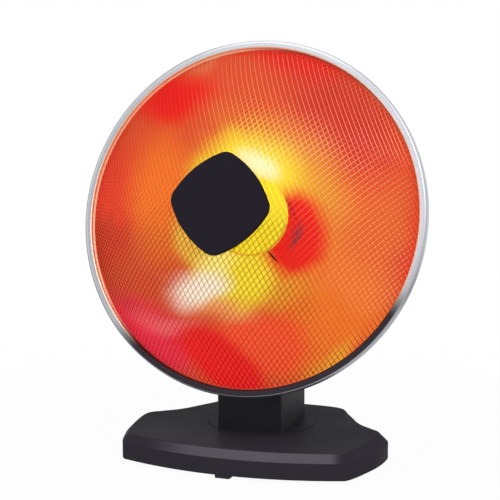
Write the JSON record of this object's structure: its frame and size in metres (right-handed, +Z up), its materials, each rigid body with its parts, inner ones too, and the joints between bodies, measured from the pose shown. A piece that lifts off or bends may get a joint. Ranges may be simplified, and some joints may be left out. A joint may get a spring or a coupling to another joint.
{
  "type": "parabolic heater",
  "caption": "Round parabolic dish heater with a domed crossed-wire guard, a bright trim ring, a tilting head and a short oscillating neck on a low base.",
  "frame": {"origin": "on the floor, under the middle of the heater's overall width and depth", "axes": "+Z up, the dish faces -Y and leans back at rest, +X to the right of someone who faces the dish"},
  "size_m": [0.32, 0.2058, 0.3769],
  "materials": {
    "chrome_trim": "polished",
    "guard_wire": "bright plated wire",
    "badge_black": "gloss",
    "black_plastic": "fine satin",
    "painted_steel": "dark painted",
    "steel": "plain zinc plated",
    "reflector_metal": "polished",
    "gold_cap": "polished",
    "ceramic": "unglazed ceramic",
    "coil_alloy": "oxidised, glows when hot",
    "white_plastic": "low friction plastic",
    "switch_plastic": "satin",
    "friction_fibre": "pressed fibre",
    "red_plastic": "gloss",
    "black_rubber": "matte"
  },
  "bodies": {
    "base": {"base_shell": "black_plastic", "bottom_plate": "painted_steel", "base_screws": "steel", "feet": "black_rubber", "drive_motor": "steel", "spindle_bush": "white_plastic", "thrust_washer": "white_plastic", "tip_switch": "switch_plastic", "plunger_spring": "steel", "terminal_block": "ceramic", "cord_gland": "black_plastic"},
    "neck": {"neck_column": "black_plastic", "rear_panel": "black_plastic", "panel_screws": "steel", "heat_switch": "ceramic", "rocker_frame": "black_plastic", "tilt_bolt": "steel", "tilt_nut": "steel", "friction_washers": "friction_fibre", "pivot_caps": "black_plastic", "turntable": "black_plastic", "neck_screws": "steel", "drive_arm": "painted_steel"},
    "head": {"guard_wires_front": "guard_wire", "guard_wires_back": "guard_wire", "guard_hem": "painted_steel", "badge_plate": "badge_black", "badge_studs": "steel", "badge_clamp": "painted_steel", "trim_ring": "chrome_trim", "ring_clips": "painted_steel", "reflector": "reflector_metal", "element_cap": "gold_cap", "cap_legs": "painted_steel", "cap_nut": "steel", "element_core": "ceramic", "heating_coil": "coil_alloy", "element_socket": "ceramic", "socket_nut": "painted_steel", "thermal_cutout": "steel", "back_cover": "black_plastic", "cover_studs": "steel"},
    "crank": {"crank": "white_plastic", "motor_shaft": "steel"},
    "heat_knob": {"heat_knob": "black_plastic", "selector_shaft": "steel"},
    "rocker": {"rocker": "red_plastic"},
    "tip_plunger": {"tip_plunger": "red_plastic"}
  },
  "joints": [
    {"name": "oscillate", "type": "hinge", "parent": "base", "child": "neck", "pos_m": [0, 0.01988, 0.0264], "axis": [0, 0, 1], "range_deg": [-35, 35]},
    {"name": "tilt", "type": "hinge", "parent": "neck", "child": "head", "pos_m": [0, 0.03988, 0.125], "axis": [1, 0, 0], "range_deg": [-10, 12.6]},
    {"name": "crank_turn", "type": "hinge", "parent": "base", "child": "crank", "pos_m": [0, -0.02012, 0.0171], "axis": [0, 0, 1], "range_deg": [-105, 105]},
    {"name": "heat_select", "type": "hinge", "parent": "neck", "child": "heat_knob", "pos_m": [0, 0.05918, 0.078], "axis": [0, -1, 0], "range_deg": [0, 120]},
    {"name": "oscillation_switch", "type": "hinge", "parent": "neck", "child": "rocker", "pos_m": [0, 0.05818, 0.05], "axis": [1, 0, 0], "range_deg": [-16, 0]},
    {"name": "tip_over_switch", "type": "slide", "parent": "base", "child": "tip_plunger", "axis": [0, 0, 1], "range_m": [-0.003, 0], "stiffness_N_per_m": 20, "springref_m": -0.003, "deforming": ["plunger_spring"]}
  ],
  "couplings": [
    {"joint": "crank_turn", "follows": "oscillate", "ratio": 3}
  ]
}
